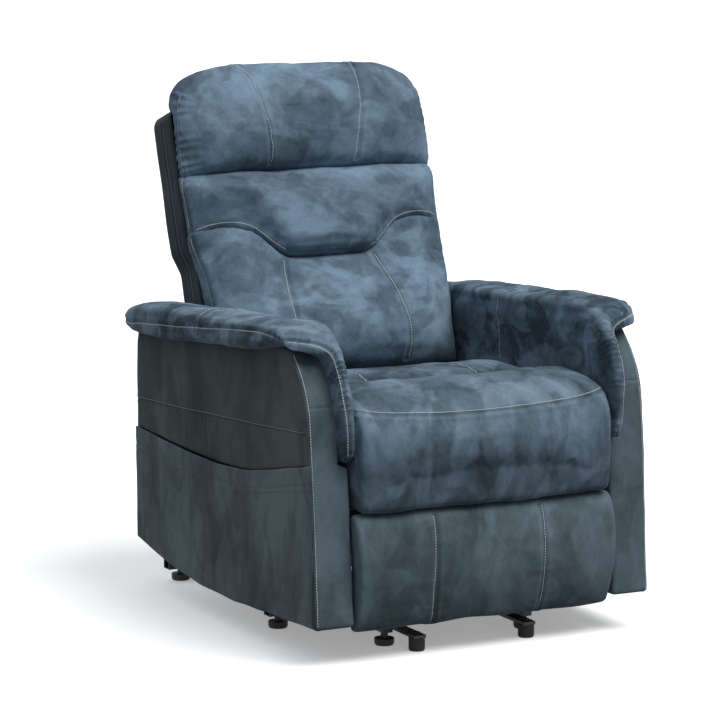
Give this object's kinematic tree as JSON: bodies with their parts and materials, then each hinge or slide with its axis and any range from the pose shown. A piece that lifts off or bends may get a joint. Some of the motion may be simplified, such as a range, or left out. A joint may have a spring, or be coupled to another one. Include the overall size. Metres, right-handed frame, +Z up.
{
  "type": "lift recliner chair",
  "caption": "Upholstered power lift recliner: padded arms, rolled head cushion, folding footrest, reclining back and a steel four-bar lift base.",
  "frame": {"origin": "centre of the footprint on the floor, under the middle of the chair", "axes": "+X to the sitter's left, -Y the way the sitter faces, +Z up"},
  "size_m": [0.766, 0.9243, 1.0463],
  "materials": {
    "base_steel": "satin black powder coat",
    "bright_steel": "satin",
    "link_zinc": "dull zinc plate",
    "glide_plastic": "matt",
    "foot_rubber": "matt",
    "housing_plastic": "fine texture",
    "inlet_plastic": "gloss",
    "button_plastic": "matt",
    "frame_wood": "sanded",
    "suede_light": "brushed microfibre suede",
    "suede_side": "brushed microfibre suede"
  },
  "bodies": {
    "base": {"base_rail_left": "base_steel", "base_rail_right": "base_steel", "base_cross_front": "base_steel", "base_cross_rear": "base_steel", "base_front_bars": "base_steel", "base_pivot_plates": "base_steel", "glides": "glide_plastic", "front_feet": "foot_rubber", "power_unit": "housing_plastic", "power_inlet": "inlet_plastic"},
    "lift_arm_pair": {"lift_arms": "base_steel"},
    "lift_link_pair": {"lift_link_left": "base_steel", "lift_link_right": "base_steel"},
    "lift_actuator": {"lift_motor": "housing_plastic"},
    "lift_piston": {"lift_rod": "bright_steel"},
    "chair": {"side_plate_left": "base_steel", "side_plate_right": "base_steel", "cross_tube_front": "base_steel", "cross_tube_rear": "base_steel", "seat_frame": "frame_wood", "seat_springs": "bright_steel", "seat_cushion": "suede_light", "hinge_brackets": "base_steel", "frame_bolts": "bright_steel", "arm_frame_left": "frame_wood", "arm_frame_right": "frame_wood", "arm_cover_left": "suede_side", "arm_cover_right": "suede_side", "arm_pad_left": "suede_light", "arm_pad_right": "suede_light", "side_pocket": "suede_side", "handset": "housing_plastic"},
    "key_back_up": {"button_back_up": "button_plastic"},
    "key_back_down": {"button_back_down": "button_plastic"},
    "key_seat_up": {"button_seat_up": "button_plastic"},
    "key_seat_down": {"button_seat_down": "button_plastic"},
    "back": {"back_frame": "frame_wood", "back_springs": "bright_steel", "back_brackets": "base_steel", "back_lever_tube": "base_steel", "back_shell": "suede_side", "head_cushion": "suede_light", "middle_cushion": "suede_light", "lumbar_cushion": "suede_light"},
    "back_actuator": {"back_motor": "housing_plastic"},
    "back_piston": {"back_rod": "bright_steel"},
    "leg_arm_pair": {"leg_arms": "link_zinc"},
    "leg_b_pair": {"leg_link_b_left": "link_zinc", "leg_link_b_right": "link_zinc"},
    "leg_c_pair": {"leg_link_c_left": "link_zinc", "leg_link_c_right": "link_zinc"},
    "leg_d_pair": {"leg_link_d_left": "link_zinc", "leg_link_d_right": "link_zinc"},
    "leg_actuator": {"leg_motor": "housing_plastic"},
    "leg_piston": {"leg_rod": "bright_steel"},
    "footrest": {"footrest_board": "frame_wood", "footrest_brackets": "link_zinc", "footrest_pad": "suede_light"}
  },
  "joints": [
    {"name": "lift_swing", "type": "hinge", "parent": "base", "child": "lift_arm_pair", "pos_m": [0, -0.222, 0.092], "axis": [1, 0, 0], "range_deg": [0, 46]},
    {"name": "chair_tilt", "type": "hinge", "parent": "lift_arm_pair", "child": "chair", "pos_m": [0, 0.245, 0.096], "axis": [1, 0, 0], "range_deg": [-21.05, 0.05]},
    {"name": "lift_link_swing", "type": "hinge", "parent": "base", "child": "lift_link_pair", "pos_m": [0, -0.2524, 0.144], "axis": [1, 0, 0], "range_deg": [-0.05, 47.62]},
    {"name": "lift_actuator_swing", "type": "hinge", "parent": "base", "child": "lift_actuator", "pos_m": [0, 0.365, 0.08], "axis": [1, 0, 0], "range_deg": [-0.05, 2.31]},
    {"name": "lift_stroke", "type": "slide", "parent": "lift_actuator", "child": "lift_piston", "axis": [0, -0.9842, 0.1771], "range_m": [-0.0005, 0.06841]},
    {"name": "footrest_extend", "type": "hinge", "parent": "chair", "child": "leg_arm_pair", "pos_m": [0, -0.182, 0.253], "axis": [-1, 0, 0], "range_deg": [0, 111.73]},
    {"name": "leg_link_c_fold", "type": "hinge", "parent": "leg_arm_pair", "child": "leg_c_pair", "pos_m": [0, -0.093, 0.107], "axis": [1, 0, 0], "range_deg": [-0.05, 101.7]},
    {"name": "footrest_turn", "type": "hinge", "parent": "leg_c_pair", "child": "footrest", "pos_m": [0, -0.365, 0.187], "axis": [1, 0, 0], "range_deg": [-77.97, 0.05]},
    {"name": "leg_link_b_swing", "type": "hinge", "parent": "chair", "child": "leg_b_pair", "pos_m": [0, -0.2739, 0.254], "axis": [1, 0, 0], "range_deg": [-125.94, 0.05]},
    {"name": "leg_link_d_fold", "type": "hinge", "parent": "leg_b_pair", "child": "leg_d_pair", "pos_m": [0, -0.144, 0.072], "axis": [1, 0, 0], "range_deg": [-0.05, 106.6]},
    {"name": "leg_actuator_swing", "type": "hinge", "parent": "chair", "child": "leg_actuator", "pos_m": [0, 0.17, 0.15], "axis": [1, 0, 0], "range_deg": [-0.05, 3.51]},
    {"name": "leg_stroke", "type": "slide", "parent": "leg_actuator", "child": "leg_piston", "axis": [0, -0.9771, 0.2127], "range_m": [-0.0005, 0.11422]},
    {"name": "back_recline", "type": "hinge", "parent": "chair", "child": "back", "pos_m": [0, 0.185, 0.385], "axis": [-1, 0, 0], "range_deg": [0, 35]},
    {"name": "back_actuator_swing", "type": "hinge", "parent": "chair", "child": "back_actuator", "pos_m": [0, -0.24, 0.19], "axis": [1, 0, 0], "range_deg": [-0.05, 5.38]},
    {"name": "back_stroke", "type": "slide", "parent": "back_actuator", "child": "back_piston", "axis": [0, 0.9867, 0.1625], "range_m": [-0.06599, 0.0005]},
    {"name": "press_back_up", "type": "slide", "parent": "chair", "child": "key_back_up", "axis": [1, 0, 0], "range_m": [0, 0.0012], "stiffness_N_per_m": 400},
    {"name": "press_back_down", "type": "slide", "parent": "chair", "child": "key_back_down", "axis": [1, 0, 0], "range_m": [0, 0.0012], "stiffness_N_per_m": 400},
    {"name": "press_seat_up", "type": "slide", "parent": "chair", "child": "key_seat_up", "axis": [1, 0, 0], "range_m": [0, 0.0012], "stiffness_N_per_m": 400},
    {"name": "press_seat_down", "type": "slide", "parent": "chair", "child": "key_seat_down", "axis": [1, 0, 0], "range_m": [0, 0.0012], "stiffness_N_per_m": 400}
  ],
  "couplings": [
    {"joint": "chair_tilt", "follows": "lift_swing", "ratio": -0.45652},
    {"joint": "lift_link_swing", "follows": "lift_swing", "ratio": 1.034},
    {"joint": "lift_actuator_swing", "follows": "lift_swing", "ratio": 0.049197},
    {"joint": "lift_stroke", "follows": "lift_swing", "m_per_rad": 0.084589},
    {"joint": "leg_link_c_fold", "follows": "footrest_extend", "ratio": 0.90977},
    {"joint": "footrest_turn", "follows": "footrest_extend", "ratio": -0.69737},
    {"joint": "leg_link_b_swing", "follows": "footrest_extend", "ratio": -1.1267},
    {"joint": "leg_link_d_fold", "follows": "footrest_extend", "ratio": 0.95361},
    {"joint": "leg_actuator_swing", "follows": "footrest_extend", "ratio": 0.030988},
    {"joint": "leg_stroke", "follows": "footrest_extend", "m_per_rad": 0.058315},
    {"joint": "back_actuator_swing", "follows": "back_recline", "ratio": 0.15242},
    {"joint": "back_stroke", "follows": "back_recline", "m_per_rad": -0.10721}
  ]
}
